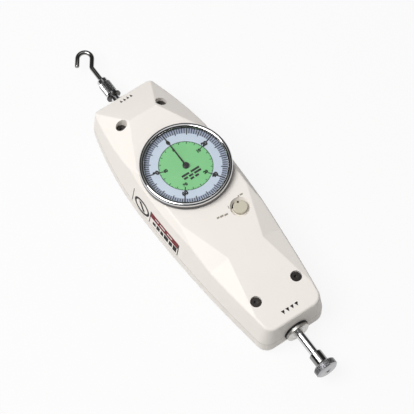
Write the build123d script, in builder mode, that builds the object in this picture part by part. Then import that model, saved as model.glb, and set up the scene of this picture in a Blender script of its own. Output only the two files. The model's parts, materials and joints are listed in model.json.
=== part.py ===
from build123d import *
import os
from math import acos, atan2, cos, degrees, hypot, pi, radians, sin, tan

# A hand-held push-pull force gauge, in millimetres.
# Frame: the gauge lies on its flat back. +Z is the normal of the dial, +Y points to the hook (the pull
# end), +X to the right. The origin is on the back face, straight below the pointer's axis.

# ------------------------------------------------------------------------------------ driving sizes
# Case
rod_axis_z = 13.5            # height of the rod above the back face; the two shells part here
pad_z = 43.5                 # top of the flat pad that carries the dial
pull_end_y = 75.8
push_end_y = -125.0
widest_y = 5.0               # where the case is widest
half_width_widest = 34.5     # half widths at the parting plane
half_width_pull = 24.0
half_width_push = 24.1
lean_widest = 0.14           # how far the front shell's walls lean in, per mm of height
lean_pull = 0.085
lean_push = 0.145
lean_ends = 0.02
corner_r_push = 8.0
corner_r_pull = 4.5
wall = 2.6
soft_edge_r = 1.8            # rounding of the front shell's edges
rear_edge_r = 6.0            # rounding of the rear shell's back edge
lip_height = 1.5             # locating lip of the rear shell inside the front one
lip_thickness = 1.2
lip_clearance = 0.1

# Facets of the front shell
crease_y = 50.5              # cross crease where the pad falls away to the pull end
crease_half = 10.8
pull_corner_drop = 13.9      # from the pad down to the top of the wall at the pull end's corners
pull_corner_half = 22.6
pull_corner_y = 74.4
ramp_start_y = -30.0         # the pad falls away to the push end from here
push_drop = 10.7             # from the pad down to the top of the push end
waist_y = -68.0              # the long ramp is narrowest here
waist_half = 13.8
pad_corner_half = 27.0       # outer corner of the pad beside the selector
side_edge_drop = 5.5         # from the pad down to the top of the side wall beside the dial
waist_edge_half = 28.5       # top of the side wall beside the waist
waist_edge_drop = 9.3        # from the pad down to that edge
tail_half = 22.3             # where the last facet runs out beside the push screws
tail_y = -112.0
pad_edge_half = 24.2         # where the pad's edge meets the facet towards the pull end
pad_edge_y = 24.0
side_facet_width = 3.1       # of the narrow facet between the side wall and the pad
side_fall_length = 36.0      # over this length towards the push end ...
side_fall = 2.0              # ... the top of the side wall falls by this much
facet_height = 1.0           # of the wall under the lowest facet, kept for the round boss

# Case screws, M4 socket heads
screw_x = 16.0
screw_pull_y = 52.0
screw_push_y = -102.0
screw_shank_r = 2.0
screw_head_r = 3.5
screw_head_height = 4.0
screw_seat_z = 30.0
screw_length = 25.0
screw_socket_af = 3.0
screw_socket_depth = 2.0
head_clearance = 0.35
shank_clearance = 0.2
thread_clearance = 0.05
tower_r = 4.8

# Tapped holes in the back, M4
mount_spacing_x = 24.0
mount_spacing_y = 100.0
mount_centre_y = -30.0
mount_hole_r = 1.65
mount_hole_depth = 7.0
mount_boss_r = 4.2

# Dial group
bezel_r = 31.0
bezel_wall = 1.15            # of the skirt around the glass and the cup
bezel_lip_width = 3.4        # from the outside to the opening that frames the dial
bezel_base_gap = 0.9         # between the pad and the bezel
bezel_height = 5.6
bezel_lip_thickness = 1.2
bezel_edge_r = 1.4           # size of the shoulder between the skirt and the top
crystal_thickness = 1.2
spacer_setback = 0.3         # the spacer stays this far behind the bezel's lip
dial_thickness = 0.6
dial_gap = 0.3               # between the cup's flange and the dial
dial_hole_r = 2.2
cup_flange_height = 1.7
cup_flange_width = 3.0
cup_wall = 1.2
cup_floor_thickness = 1.2
cup_depth = 2.6              # from the pad down to the underside of the cup's floor
cup_hole_r = 6.0
cup_fit = 0.1
boss_setback = 1.0           # the shell's round boss under the bezel is this much smaller
friction_ring_height = 1.1
friction_ring_width = 0.82
bezel_clearance = 0.03

# Pointer
pointer_setback = 3.7        # the tip stops this far inside the bezel's opening
pointer_root_width = 1.3
pointer_tip_width = 0.4
pointer_thickness = 0.3
pointer_gap = 0.6            # between the dial and the pointer
pointer_hub_r = 2.2
pointer_hub_height = 1.0

# Movement plates
plate_edge = 4.2             # from the pillars' centres to the plates' edges
plate_corner_r = 3.0
plate_thickness = 1.6
back_plate_height = 7.0      # from the rod's axis to the underside of the back plate
spacer_height = 3.3          # between the front plate and the cup
pillar_angle = 47.0          # direction of the pillars from the pointer's axis, in degrees
pillar_r = 2.4
pillar_tenon_r = 1.4
small_screw_r = 1.0
small_head_r = 1.8
small_head_height = 1.1
small_thread_length = 5.0
small_head_gap = 0.3         # from the small screws' heads to the cup's wall

# Gears
module_mm = 0.5
pressure_angle = 20.0
rack_pinion_teeth = 20
wheel_teeth = 44
pointer_pinion_teeth = 14
tooth_height_factor = 0.8    # addendum as a share of the module: stub teeth
tooth_root_factor = 1.1
backlash = 0.12
arbor_r = 1.5
pivot_r = 1.0
pivot_clearance = 0.05
rack_pinion_overlap = 0.2    # the pinion is wider than the rack by this on both sides
wheel_gap = 3.6              # between the rack's top and the wheel
wheel_width = 1.4
pointer_pinion_overlap = 0.5  # the pointer's pinion is wider than the wheel by this on both sides
arbor_end_play = 0.1

# Rod, rack and springs
rod_r = 3.0
rod_travel = 10.0            # from rest towards the pull end
rod_clearance = 0.05
stop_clearance = 0.3
rod_pull_y = 98.0
rod_push_y = -152.0
carrier_half_length = 6.0
carrier_r = 6.0
carrier_clearance = 0.5      # around the carrier's arm in the back plate's slot
collar_width = 2.5
collar_r = 6.0
rack_half_length = 18.0
rack_height = 3.0
rack_body_width = 3.9
rack_gap = 1.3               # between the back plate and the rack
rack_screw_spacing = 6.0
rack_screw_r = 0.8
rack_screw_head_r = 1.35
rack_screw_head_height = 0.8
spring_wire = 1.4            # side of the square wire
spring_coil_r = 5.2
spring_turns = 7
spring_steps = 12            # straight lengths in a turn
spring_free_gap = 38.0       # between the collar and the stop, at rest
stop_thickness = 3.0
stop_half_width = 9.0
stop_height = 6.5            # of the stops above the rod's axis
stop_rib = 1.5
stop_rib_top_z = 6.5

# Bushes where the rod leaves the case
bush_flange_r = 8.3
bush_flange_height = 2.3
bush_neck_r = 6.0
bush_inner_flange_r = 7.4
bush_inner_flange_width = 2.0
seal_r = 8.9
seal_thickness = 1.1

# Push end of the rod
sleeve_r = 4.6
sleeve_start_y = -146.0
disc_start_y = -155.0
disc_r = 8.0
disc_thickness = 5.6
disc_teeth = 44
disc_chamfer = 0.8
knurl_depth = 0.3

# Pull end of the rod
nut_start_y = 85.2
nut_thickness = 1.2
nut_r = 5.2
coupling_r = 4.45
coupling_knurl_end_y = 97.2
coupling_end_y = 101.6
coupling_nose_r = 3.7
coupling_teeth = 28
hook_wire_r = 1.6
hook_bow_r = 5.0             # centre line of the bow
hook_bow_y = 121.4
hook_tilt = 36.0             # lean of the bow's arms, in degrees
hook_bend_r = 3.0
hook_arm_length = 6.9
hook_seat_y = 99.0

# Selector: knob, crank and brake lever
knob_x = 13.3
knob_y = -43.3
knob_r = 4.85
knob_height = 2.8
knob_chamfer = 0.4
knob_gap = 0.2
knob_turn = 60.0             # degrees between the two settings
dish_r = 6.9
dish_depth = 2.302
dish_floor_r = 5.6
knob_shaft_r = 2.0
knob_bore_clearance = 0.05
knob_boss_r = 4.2
knob_bearing_length = 6.7
clip_r = 3.4
clip_thickness = 0.6
crank_r = 4.0
crank_gap = 0.4              # between the lever and the crank, and from the lever to the pin's end
crank_thickness = 1.0
crank_throw = 2.5
crank_pin_r = 0.8
lever_pivot_x = 7.5
lever_pivot_y = -14.5
lever_height = 3.5           # of the lever above the back plate
lever_thickness = 1.4
lever_half_width = 1.8
lever_boss_r = 3.0
lever_fork_r = 3.0
lever_pin_r = 1.0
slot_clearance = 0.12
drum_r = 4.0
drum_overlap = 0.2           # the drum is wider than the lever by this on both sides
brake_pad_thickness = 1.2
brake_pad_length = 3.0
brake_gap = 0.08

# Hairspring of the pointer arbor
hairspring_gap = 1.8         # between the hairspring and the front plate
hairspring_height = 0.8
hairspring_strip = 0.25
hairspring_turns = 3
hairspring_inner_r = 2.4
hairspring_pitch = 1.5
collet_height = 1.2
stud_size = 1.6

# ------------------------------------------------------------------------------------- worked-out sizes
os.makedirs("parts", exist_ok=True)

side_edge_z = pad_z - side_edge_drop
pull_corner_z = pad_z - pull_corner_drop
push_top_z = pad_z - push_drop
waist_edge_z = pad_z - waist_edge_drop
bezel_base_z = pad_z + bezel_base_gap
bezel_top_z = bezel_base_z + bezel_height
dial_face_z = pad_z + cup_flange_height + dial_gap + dial_thickness
pointer_z = dial_face_z + pointer_gap
cup_underside_z = pad_z - cup_depth
front_plate_top_z = cup_underside_z - spacer_height
front_plate_z = front_plate_top_z - plate_thickness
back_plate_z = rod_axis_z + back_plate_height
back_plate_top_z = back_plate_z + plate_thickness
stop_top_z = rod_axis_z + stop_height
rack_z = back_plate_top_z + rack_gap
rack_top_z = rack_z + rack_height
rack_pinion_z = rack_z - rack_pinion_overlap
rack_pinion_width = rack_height + 2 * rack_pinion_overlap
wheel_z = rack_top_z + wheel_gap
pointer_pinion_z = wheel_z - pointer_pinion_overlap
pointer_pinion_width = wheel_width + 2 * pointer_pinion_overlap
lever_z = back_plate_top_z + lever_height
drum_z = lever_z - drum_overlap
drum_width = lever_thickness + 2 * drum_overlap
crank_z = lever_z + lever_thickness + crank_gap
crank_pin_end_z = lever_z - crank_gap
hairspring_z = front_plate_z - hairspring_gap - hairspring_height

bezel_bore_r = bezel_r - bezel_wall
bezel_lip_r = bezel_r - bezel_lip_width
spacer_bore_r = bezel_lip_r + spacer_setback
boss_r = bezel_r - boss_setback
cup_flange_r = bezel_bore_r - bezel_clearance - friction_ring_width
cup_spigot_r = cup_flange_r - cup_flange_width
cup_bore_r = cup_spigot_r - cup_wall
pointer_length = bezel_lip_r - pointer_setback
pillar_circle_r = cup_bore_r - small_head_r - small_head_gap
pillar_x = pillar_circle_r * cos(radians(pillar_angle))
pillar_y = pillar_circle_r * sin(radians(pillar_angle))
plate_half_x = pillar_x + plate_edge
plate_half_y = pillar_y + plate_edge
gear_radius = {n: module_mm * n / 2 for n in (rack_pinion_teeth, wheel_teeth, pointer_pinion_teeth)}
arbor_spacing = gear_radius[wheel_teeth] + gear_radius[pointer_pinion_teeth]
rack_line_x = -arbor_spacing + gear_radius[rack_pinion_teeth]
ramp_slope = (pad_z - push_top_z) / (ramp_start_y - push_end_y)


def ramp_height(y):
    """Height of the top of the case at y, on the ramp towards the push end."""
    return pad_z + ramp_slope * (y - ramp_start_y)


def leaning_half_width(at_parting, lean, z):
    """Half width of the front shell at height z: its walls lean in upwards."""
    return at_parting - lean * (z - rod_axis_z)


# ------------------------------------------------------------------------------------------------- case
def case_section(z, inset):
    """The case's outline at height z, drawn inset from the outside: two bowed sides, two flat ends."""
    half_widest = leaning_half_width(half_width_widest, lean_widest, z) - inset
    half_pull = leaning_half_width(half_width_pull, lean_pull, z) - inset
    half_push = leaning_half_width(half_width_push, lean_push, z) - inset
    end_lean = lean_ends * (z - rod_axis_z)
    pull_y = pull_end_y - end_lean - inset
    push_y = push_end_y + end_lean + inset
    with BuildSketch(Plane.XY.offset(z)) as section:
        with BuildLine():
            Line((0, push_y), (half_push, push_y))
            TangentArc((half_widest, widest_y), (half_push, push_y), tangent=(0, -1))
            TangentArc((half_widest, widest_y), (half_pull, pull_y), tangent=(0, 1))
            Line((half_pull, pull_y), (0, pull_y))
            mirror(about=Plane.YZ)
        make_face()
        corners = section.vertices().group_by(Axis.Y)
        fillet(corners[0].filter_by(lambda v: abs(v.X) > 1), corner_r_push - inset)
        corners = section.vertices().group_by(Axis.Y)
        fillet(corners[-1].filter_by(lambda v: abs(v.X) > 1), corner_r_pull - inset)
    return section.sketch


def facet_plane(a, b, c, side):
    """Plane through three points of a facet, with its x along a to b and its normal outwards."""
    a, b, c = (Vector(side * x, y, z) for x, y, z in (a, b, c))
    normal = (b - a).cross(c - a).normalized()
    if normal.Z < 0:
        normal = normal * -1
    return Plane(origin=a, x_dir=b - a, z_dir=normal)


def front_block(inset):
    """The front shell's solid form, inset from the outside: bowed walls, cut by the pad, two ramps and
    the facets beside them. The two facets beside the ramp meet in a shallow valley at the waist."""
    waist = (waist_half, waist_y, ramp_height(waist_y))
    waist_edge = (waist_edge_half, waist_y, waist_edge_z)
    pad_corner = (pad_corner_half, ramp_start_y, pad_z)
    tail = (tail_half, tail_y, ramp_height(tail_y))
    crease = (crease_half, crease_y, pad_z)
    pull_corner = (pull_corner_half, pull_corner_y, pull_corner_z)
    pad_edge = (pad_edge_half, pad_edge_y, pad_z)
    side_low = (leaning_half_width(half_width_widest, lean_widest, side_edge_z), widest_y, side_edge_z)
    side_low_push = (side_low[0], widest_y - side_fall_length, side_edge_z - side_fall)
    side_high = (side_low[0] - side_facet_width, widest_y, pad_z)
    case_length = pull_end_y - push_end_y
    with BuildPart() as block:
        for z in (rod_axis_z, pad_z + wall):
            add(case_section(z, inset))
        loft(ruled=True)
        split(bisect_by=Plane.XY.offset(pad_z - inset), keep=Keep.BOTTOM)
        ramp = facet_plane((0, ramp_start_y, pad_z), (0, push_end_y, push_top_z), pad_corner, 1)
        split(bisect_by=ramp.offset(-inset), keep=Keep.BOTTOM)
        pull_ramp = facet_plane((0, crease_y, pad_z), (0, pull_corner_y, pull_corner_z), crease, 1)
        split(bisect_by=pull_ramp.offset(-inset), keep=Keep.BOTTOM)
        for side in (-1, 1):
            split(bisect_by=facet_plane(crease, pad_edge, pull_corner, side).offset(-inset), keep=Keep.BOTTOM)
            split(bisect_by=facet_plane(side_high, side_low, side_low_push, side).offset(-inset), keep=Keep.BOTTOM)
            for far_point, reach in ((pad_corner, 1), (tail, -1)):
                plane = facet_plane(waist, waist_edge, far_point, side).offset(-inset)
                towards_dial = 1 if plane.y_dir.Y > 0 else -1
                with BuildSketch(plane):
                    with Locations((0, towards_dial * reach * (case_length / 4 - inset))):
                        Rectangle(case_length / 2, case_length / 2)
                extrude(amount=pad_z, mode=Mode.SUBTRACT)
    return block.part


from_base = (Align.CENTER, Align.CENTER, Align.MIN)


def pin(radius, z_low, z_high, x=0.0, y=0.0, mode=Mode.ADD):
    """An upright round bar or hole in the part under construction."""
    with Locations((x, y, z_low)):
        Cylinder(radius, z_high - z_low, align=from_base, mode=mode)


def ring(outer_r, inner_r, z_low, z_high, x=0.0, y=0.0):
    """An upright ring in the part under construction."""
    pin(outer_r, z_low, z_high, x, y)
    pin(inner_r, z_low, z_high, x, y, mode=Mode.SUBTRACT)


def rod_plane(y):
    """Plane across the rod at y, facing the pull end."""
    return Plane(origin=(0, y, rod_axis_z), x_dir=(1, 0, 0), z_dir=(0, 1, 0))


def bar_along_rod(radius, y_low, y_high, mode=Mode.ADD):
    """A round bar or hole on the rod's axis in the part under construction."""
    with Locations(rod_plane(y_low)):
        Cylinder(radius, y_high - y_low, align=from_base, mode=mode)


case_screw_places = [(x, y) for x in (-screw_x, screw_x) for y in (screw_push_y, screw_pull_y)]
pillar_places = [(x, y) for x in (-pillar_x, pillar_x) for y in (-pillar_y, pillar_y)]
mount_places = [
    (x, mount_centre_y + y)
    for x in (-mount_spacing_x / 2, mount_spacing_x / 2)
    for y in (-mount_spacing_y / 2, mount_spacing_y / 2)
]
collar_y = carrier_half_length + collar_width
stop_y = collar_y + spring_free_gap
knob_surface_z = ramp_height(knob_y)
dish_z = knob_surface_z - dish_depth
knob_boss_z = dish_z - knob_bearing_length


def cut_bush_seats():
    """Holes for the bushes' necks through both end walls of the shell under construction, and flat
    seats inside for their inner flanges."""
    for end_y, inwards in ((push_end_y, 1), (pull_end_y, -1)):
        for radius, start, stop in (
            (bush_neck_r + rod_clearance, -1, wall + 1),
            (bush_inner_flange_r + rod_clearance, wall, wall + bush_inner_flange_width),
        ):
            low, high = sorted((end_y + inwards * start, end_y + inwards * stop))
            bar_along_rod(radius, low, high, mode=Mode.SUBTRACT)


# Space inside the front shell: the block inset by the wall, less the towers and the selector's bearing.
with BuildPart() as front_space:
    add(front_block(wall))
    for x, y in case_screw_places:
        pin(tower_r, rod_axis_z, pad_z, x, y, mode=Mode.SUBTRACT)
    pin(knob_boss_r, knob_boss_z, pad_z, knob_x, knob_y, mode=Mode.SUBTRACT)

# Front shell: the faceted block, with the round boss and opening under the dial, the screws' deep seats,
# the selector's dish and bearing, half of each bush's seat, and a recess for the rear shell's lip.
with BuildPart() as front_case:
    add(front_block(0))
    fillet(front_case.edges().filter_by(lambda e: e.center().Z > rod_axis_z + lip_height), soft_edge_r)
    pin(boss_r, side_edge_z + facet_height, pad_z)
    add(front_space.part, mode=Mode.SUBTRACT)
    pin(cup_spigot_r + cup_fit, pad_z - 2 * wall, pad_z, mode=Mode.SUBTRACT)
    for x, y in case_screw_places:
        pin(screw_shank_r + shank_clearance, rod_axis_z, screw_seat_z, x, y, mode=Mode.SUBTRACT)
        pin(screw_head_r + head_clearance, screw_seat_z, pad_z, x, y, mode=Mode.SUBTRACT)
    with BuildSketch(Plane.XY.offset(dish_z)):
        with Locations((knob_x, knob_y)):
            Circle(dish_floor_r)
    with BuildSketch(Plane.XY.offset(knob_surface_z)):
        with Locations((knob_x, knob_y)):
            Circle(dish_r)
    loft(mode=Mode.SUBTRACT)
    pin(dish_r, knob_surface_z, pad_z, knob_x, knob_y, mode=Mode.SUBTRACT)
    pin(knob_shaft_r + knob_bore_clearance, knob_boss_z, dish_z, knob_x, knob_y, mode=Mode.SUBTRACT)
    with BuildSketch(Plane.XY.offset(rod_axis_z)):
        add(case_section(rod_axis_z, wall - lip_thickness - lip_clearance))
    extrude(amount=lip_height + lip_clearance, mode=Mode.SUBTRACT)
    cut_bush_seats()
front_case.part.label = "front_case"

# Space inside the rear shell, less the towers, the bosses of the tapped holes and the ribs of the stops.
with BuildPart() as rear_space:
    add(case_section(rod_axis_z, wall))
    extrude(amount=wall - rod_axis_z)
    fillet(rear_space.edges().group_by(Axis.Z)[0], rear_edge_r - wall)
    for x, y in case_screw_places:
        pin(tower_r, 0, rod_axis_z, x, y, mode=Mode.SUBTRACT)
    for x, y in mount_places:
        pin(mount_boss_r, 0, mount_hole_depth + wall, x, y, mode=Mode.SUBTRACT)
    for end in (-1, 1):
        with BuildSketch(Plane.XY):
            for y in (stop_y - stop_rib / 2, stop_y + stop_thickness + stop_rib / 2):
                with Locations((0, end * y)):
                    Rectangle(2 * stop_half_width, stop_rib)
        extrude(amount=stop_rib_top_z, mode=Mode.SUBTRACT)

# Rear shell: rounded back edges, tapped towers and bosses, and a lip that centres it in the front shell.
with BuildPart() as rear_case:
    add(case_section(rod_axis_z, 0))
    extrude(amount=-rod_axis_z)
    fillet(rear_case.edges().group_by(Axis.Z)[0], rear_edge_r)
    with BuildSketch(Plane.XY.offset(rod_axis_z)):
        add(case_section(rod_axis_z, wall - lip_thickness))
    extrude(amount=lip_height)
    with BuildSketch(Plane.XY.offset(rod_axis_z)):
        add(case_section(rod_axis_z, wall))
    extrude(amount=lip_height, mode=Mode.SUBTRACT)
    add(rear_space.part, mode=Mode.SUBTRACT)
    for x, y in case_screw_places:
        pin(screw_shank_r + thread_clearance, wall, rod_axis_z, x, y, mode=Mode.SUBTRACT)
    for x, y in mount_places:
        pin(mount_hole_r, 0, mount_hole_depth, x, y, mode=Mode.SUBTRACT)
    cut_bush_seats()
rear_case.part.label = "rear_case"

# Four socket-head screws hold the shells together.
with BuildPart() as case_screws:
    for x, y in case_screw_places:
        pin(screw_head_r, screw_seat_z, screw_seat_z + screw_head_height, x, y)
        pin(screw_shank_r, screw_seat_z - screw_length, screw_seat_z, x, y)
        with BuildSketch(Plane.XY.offset(screw_seat_z + screw_head_height)):
            with Locations((x, y)):
                RegularPolygon(screw_socket_af / 2, 6, major_radius=False)
        extrude(amount=-screw_socket_depth, mode=Mode.SUBTRACT)
case_screws.part.label = "case_screws"

# ------------------------------------------------------------------------------------------ dial group
# Fixed cup: its flange stands on the pad, its spigot drops into the opening, its floor carries the movement.
with BuildPart() as dial_cup:
    pin(cup_spigot_r, cup_underside_z, pad_z)
    pin(cup_flange_r, pad_z, pad_z + cup_flange_height)
    floor_top_z = cup_underside_z + cup_floor_thickness
    pin(cup_bore_r, floor_top_z, pad_z + cup_flange_height, mode=Mode.SUBTRACT)
    pin(cup_hole_r, cup_underside_z, floor_top_z, mode=Mode.SUBTRACT)
    for x, y in pillar_places:
        pin(small_screw_r + thread_clearance, cup_underside_z, floor_top_z, x, y, mode=Mode.SUBTRACT)
dial_cup.part.label = "dial_cup"

# Felt ring between the cup and the bezel, which keeps the bezel where it is turned to.
with BuildPart() as friction_ring:
    ring_top_z = pad_z + cup_flange_height
    ring(bezel_bore_r - bezel_clearance, cup_flange_r, ring_top_z - friction_ring_height, ring_top_z)
friction_ring.part.label = "friction_ring"

# Bezel: a turned ring with a shoulder of three flats and a lip that slopes down to the glass.
crystal_top_z = bezel_top_z - bezel_lip_thickness
crystal_low_z = crystal_top_z - crystal_thickness
shoulder = [
    (
        bezel_r - bezel_edge_r + bezel_edge_r * sin(radians(angle)),
        bezel_top_z - bezel_edge_r + bezel_edge_r * cos(radians(angle)),
    )
    for angle in (0, 30, 60)
]
with BuildPart() as bezel_ring:
    with BuildSketch(Plane.XZ):
        with BuildLine():
            Polyline(
                (bezel_r, bezel_top_z - bezel_edge_r),
                (bezel_r, bezel_base_z),
                (bezel_bore_r, bezel_base_z),
                (bezel_bore_r, crystal_top_z),
                (bezel_lip_r, crystal_top_z),
                (bezel_lip_r + bezel_lip_thickness, bezel_top_z),
                *shoulder,
                close=True,
            )
        make_face()
    revolve(axis=Axis.Z)
bezel_ring.part.label = "bezel_ring"

with BuildPart() as crystal:
    pin(bezel_bore_r, crystal_low_z, crystal_top_z)
crystal.part.label = "crystal"

# Spacer between the glass and the dial.
with BuildPart() as spacer_ring:
    ring(bezel_bore_r, spacer_bore_r, dial_face_z, crystal_low_z)
spacer_ring.part.label = "spacer_ring"

with BuildPart() as dial_plate:
    ring(bezel_bore_r, dial_hole_r, dial_face_z - dial_thickness, dial_face_z)
dial_plate.part.label = "dial_plate"

# --------------------------------------------------------------------------------------------- pointer
arbor_low_z = back_plate_top_z + arbor_end_play
arbor_high_z = front_plate_z - arbor_end_play
pointer_hub_z = pointer_z - (pointer_hub_height - pointer_thickness) / 2

with BuildPart() as pointer_arbor:
    pin(pivot_r, back_plate_z + arbor_end_play, arbor_low_z)
    pin(arbor_r, arbor_low_z, arbor_high_z)
    pin(pivot_r, arbor_high_z, pointer_hub_z + pointer_hub_height)
pointer_arbor.part.label = "pointer_arbor"

with BuildPart() as pointer:
    with BuildSketch(Plane.XY.offset(pointer_z)):
        Polygon(
            (-pointer_root_width / 2, 0),
            (pointer_root_width / 2, 0),
            (pointer_tip_width / 2, pointer_length),
            (-pointer_tip_width / 2, pointer_length),
            align=None,
        )
    extrude(amount=pointer_thickness)
    pin(pointer_hub_r, pointer_hub_z, pointer_hub_z + pointer_hub_height)
    pin(pivot_r, pointer_hub_z, pointer_hub_z + pointer_hub_height, mode=Mode.SUBTRACT)
pointer.part.label = "pointer"


# ----------------------------------------------------------------------------------------------- gears
def involute(angle):
    """The involute function of a pressure angle in radians."""
    return tan(angle) - angle


def gear_outline(teeth, phase):
    """Corner points of a stub-toothed spur gear; phase is the direction of a tooth, in degrees."""
    pitch_r = gear_radius[teeth]
    base_r = pitch_r * cos(radians(pressure_angle))
    root_r = pitch_r - tooth_root_factor * module_mm
    tip_r = pitch_r + tooth_height_factor * module_mm
    half_at_pitch = (pi * module_mm / 2 - backlash) / (2 * pitch_r)
    start_r = max(base_r, root_r)
    flank = []
    for r in (start_r, (start_r + tip_r) / 2, tip_r):
        half = half_at_pitch + involute(radians(pressure_angle)) - involute(acos(min(base_r / r, 1)))
        flank.append((r, half))
    if root_r < start_r:
        flank.insert(0, (root_r, flank[0][1]))
    points = []
    for tooth in range(teeth):
        centre = radians(phase) + 2 * pi * tooth / teeth
        for r, half in flank:
            points.append((r * cos(centre - half), r * sin(centre - half)))
        for r, half in reversed(flank):
            points.append((r * cos(centre + half), r * sin(centre + half)))
    return points


def gear_body(teeth, phase, z_low, width, x, y):
    """A spur gear on an arbor at x, y in the part under construction."""
    with BuildSketch(Plane.XY.offset(z_low)) as profile:
        with Locations((x, y)):
            Polygon(*gear_outline(teeth, phase), align=None)
            Circle(arbor_r, mode=Mode.SUBTRACT)
    extrude(profile.sketch, amount=width)


# The pinion on the rack turns the wheel, and the wheel drives the pinion on the pointer's arbor.
with BuildPart() as gear_arbor:
    pin(pivot_r, back_plate_z + arbor_end_play, arbor_low_z, -arbor_spacing)
    pin(arbor_r, arbor_low_z, arbor_high_z, -arbor_spacing)
    pin(pivot_r, arbor_high_z, front_plate_top_z, -arbor_spacing)
gear_arbor.part.label = "gear_arbor"

with BuildPart() as rack_pinion:
    gear_body(rack_pinion_teeth, 0, rack_pinion_z, rack_pinion_width, -arbor_spacing, 0)
rack_pinion.part.label = "rack_pinion"

with BuildPart() as gear_wheel:
    gear_body(wheel_teeth, 0, wheel_z, wheel_width, -arbor_spacing, 0)
gear_wheel.part.label = "gear_wheel"

with BuildPart() as pointer_pinion:
    towards_wheel = degrees(pi)
    half_tooth = degrees(pi / pointer_pinion_teeth)
    gear_body(pointer_pinion_teeth, towards_wheel + half_tooth, pointer_pinion_z, pointer_pinion_width, 0, 0)
pointer_pinion.part.label = "pointer_pinion"

# ------------------------------------------------------------------------------------- rod and its load
with BuildPart() as measuring_rod:
    bar_along_rod(rod_r, rod_push_y, rod_pull_y)
measuring_rod.part.label = "measuring_rod"

# Collars pressed on the rod on both sides of the carrier: the springs push on them.
with BuildPart() as rod_collars:
    for y in (-collar_y, carrier_half_length):
        bar_along_rod(collar_r, y, y + collar_width)
    bar_along_rod(rod_r, -collar_y, collar_y, mode=Mode.SUBTRACT)
rod_collars.part.label = "rod_collars"

# Rack beside the rod, its teeth towards the gear arbor.
rack_root_x = rack_line_x + tooth_root_factor * module_mm
rack_back_x = rack_root_x + rack_body_width
rack_middle_x = (rack_root_x + rack_back_x) / 2
tooth_pitch = pi * module_mm
rack_screw_places = [(rack_middle_x, -rack_screw_spacing / 2), (rack_middle_x, rack_screw_spacing / 2)]

with BuildPart() as rack:
    with BuildSketch(Plane.XY.offset(rack_z)):
        with Locations((rack_middle_x, 0)):
            Rectangle(rack_body_width, 2 * rack_half_length)
        tooth_count = int(2 * rack_half_length / tooth_pitch) // 2 * 2
        half_at_line = (tooth_pitch / 2 - backlash) / 2
        slope = tan(radians(pressure_angle))
        half_root = half_at_line + tooth_root_factor * module_mm * slope
        half_tip = half_at_line - tooth_height_factor * module_mm * slope
        tip_x = rack_line_x - tooth_height_factor * module_mm
        with Locations(*[(0, (i - tooth_count / 2 + 0.5) * tooth_pitch) for i in range(tooth_count)]):
            Polygon(
                (rack_root_x, -half_root),
                (tip_x, -half_tip),
                (tip_x, half_tip),
                (rack_root_x, half_root),
                align=None,
            )
    extrude(amount=rack_height)
    for x, y in rack_screw_places:
        pin(rack_screw_r, rack_z, rack_top_z, x, y, mode=Mode.SUBTRACT)
rack.part.label = "rack"

# Carrier: a block clamped on the rod, with an arm that reaches up through the back plate to the rack.
with BuildPart() as rack_carrier:
    bar_along_rod(carrier_r, -carrier_half_length, carrier_half_length)
    with BuildSketch(Plane.XY.offset(rod_axis_z)):
        with Locations((rack_middle_x, 0)):
            Rectangle(rack_body_width, 2 * carrier_half_length)
    extrude(amount=rack_z - rod_axis_z)
    bar_along_rod(rod_r, -carrier_half_length, carrier_half_length, mode=Mode.SUBTRACT)
    for x, y in rack_screw_places:
        pin(rack_screw_r, rack_z - rack_height, rack_z, x, y, mode=Mode.SUBTRACT)
rack_carrier.part.label = "rack_carrier"

with BuildPart() as rack_screws:
    for x, y in rack_screw_places:
        pin(rack_screw_r, rack_z - rack_height, rack_top_z, x, y)
        pin(rack_screw_head_r, rack_top_z, rack_top_z + rack_screw_head_height, x, y)
rack_screws.part.label = "rack_screws"


def coil(y_low, y_high):
    """Compression spring of square wire on the rod's axis, its ends ground flat, in the part under
    construction. Each turn is bent from short straight lengths."""
    steps = spring_steps * spring_turns
    points = []
    for i in range(steps + 1):
        angle = 2 * pi * i / spring_steps
        y = y_low + (y_high - y_low) * i / steps
        points.append((spring_coil_r * sin(angle), y, rod_axis_z + spring_coil_r * cos(angle)))
    with BuildLine() as centre_line:
        Polyline(*points)
    with BuildSketch(Plane(origin=points[0], x_dir=(0, 1, 0), z_dir=centre_line.line % 0)) as section:
        Rectangle(spring_wire, spring_wire)
    sweep(section.sketch, path=centre_line.line, transition=Transition.RIGHT)
    split(bisect_by=rod_plane(y_low), keep=Keep.TOP)
    split(bisect_by=rod_plane(y_high), keep=Keep.BOTTOM)


# Two measuring springs between the rod's collars and the fixed stops. They press against each other and
# hold the rod at zero. A pull on the hook and a push on the disc both move the rod to the pull end.
with BuildPart() as pull_spring:
    coil(collar_y, stop_y)
pull_spring.part.label = "pull_spring"

with BuildPart() as push_spring:
    coil(-stop_y, -collar_y)
push_spring.part.label = "push_spring"

with BuildPart() as spring_stops:
    for y in (-stop_y - stop_thickness, stop_y):
        with BuildSketch(rod_plane(y)):
            with Locations((0, rod_axis_z - (wall + stop_top_z) / 2)):
                Rectangle(2 * stop_half_width, stop_top_z - wall)
            Circle(rod_r + stop_clearance, mode=Mode.SUBTRACT)
        extrude(amount=stop_thickness)
spring_stops.part.label = "spring_stops"

# ---------------------------------------------------------------------------------- bushes and adapters
bush_ends = {"pull_bush": (pull_end_y, 1), "push_bush": (push_end_y, -1)}
bushes = []
bush_reach = wall + bush_inner_flange_width + bush_flange_height
for name, (end_y, outwards) in bush_ends.items():
    with BuildPart() as bush:
        for radius, start, stop in (
            (bush_inner_flange_r, -wall - bush_inner_flange_width, -wall),
            (bush_neck_r, -wall, seal_thickness),
            (bush_flange_r, seal_thickness, seal_thickness + bush_flange_height),
        ):
            low, high = sorted((end_y + outwards * start, end_y + outwards * stop))
            bar_along_rod(radius, low, high)
        bar_along_rod(rod_r + rod_clearance, end_y - bush_reach, end_y + bush_reach, mode=Mode.SUBTRACT)
    bush.part.label = name
    bushes.append(bush)

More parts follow.
